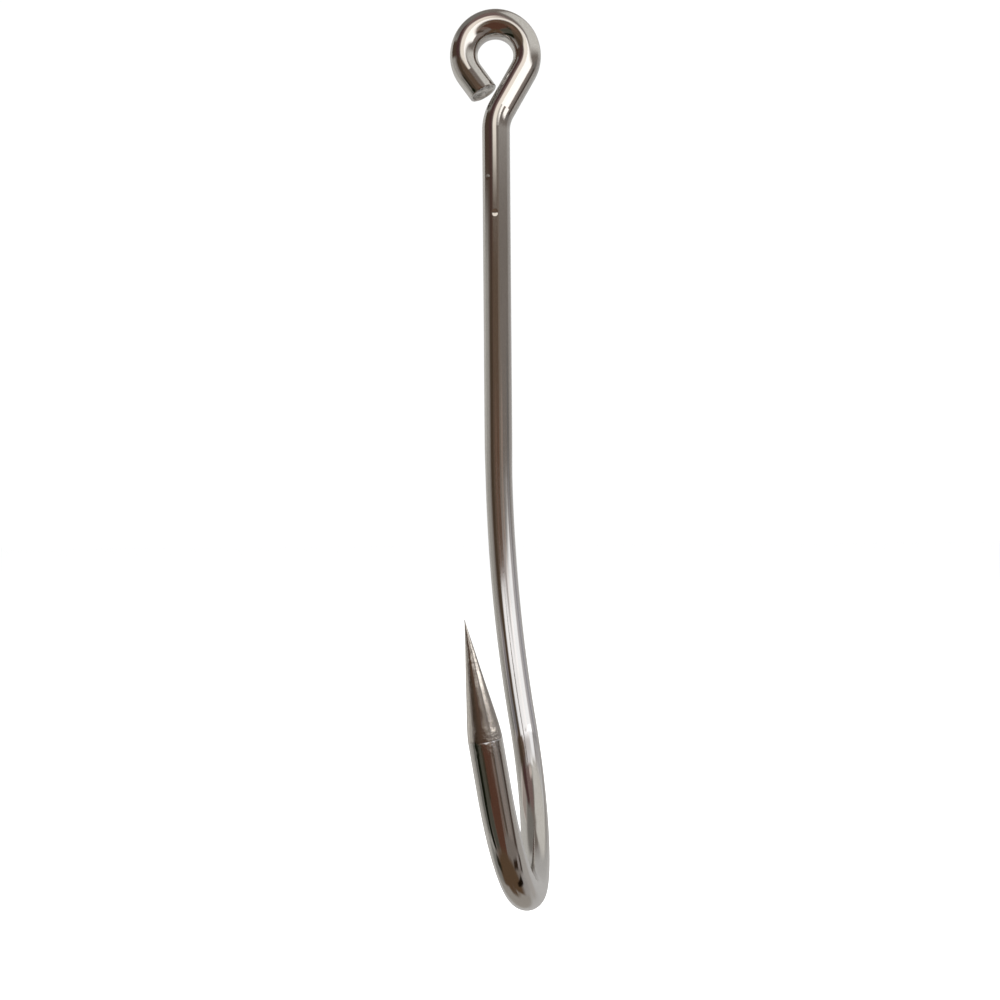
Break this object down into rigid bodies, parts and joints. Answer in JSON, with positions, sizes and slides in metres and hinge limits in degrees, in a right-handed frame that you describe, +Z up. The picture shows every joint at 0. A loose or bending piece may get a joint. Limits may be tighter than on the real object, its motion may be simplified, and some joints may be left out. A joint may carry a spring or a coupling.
{
  "type": "meat hook",
  "caption": "Large eyed meat hook of one bright round wire: ring eye, long straight shank, lower shank set to one side, deep round bend and ground point.",
  "frame": {"origin": "centre of the round eye, on the shank's axis", "axes": "+Z up along the straight shank; the eye lies in the XZ plane with its bore along Y; the point stands off towards -Y; the lower shank is set over towards +X"},
  "size_m": [0.013, 0.0382, 0.12],
  "materials": {
    "polished_wire": "mirror-polished stainless drawn wire with faint lengthwise drawing lines",
    "pressed_wire": "mirror-polished stainless wire, its sides pressed very slightly flat at the bend",
    "ground_cone": "polished stainless with fine grinding rings round the cone",
    "sheared_wire_end": "polished wire with a bare sheared end face and small burrs"
  },
  "bodies": {
    "root": {"eye_tail": "sheared_wire_end", "eye_ring": "polished_wire", "neck": "polished_wire", "neck_bend": "polished_wire", "straight_shank": "polished_wire", "set_shank": "pressed_wire", "bend_back": "pressed_wire", "bend_lower_back": "pressed_wire", "bend_lower_front": "pressed_wire", "bend_front": "pressed_wire", "point_limb": "pressed_wire", "ground_point": "ground_cone"}
  },
  "joints": []
}
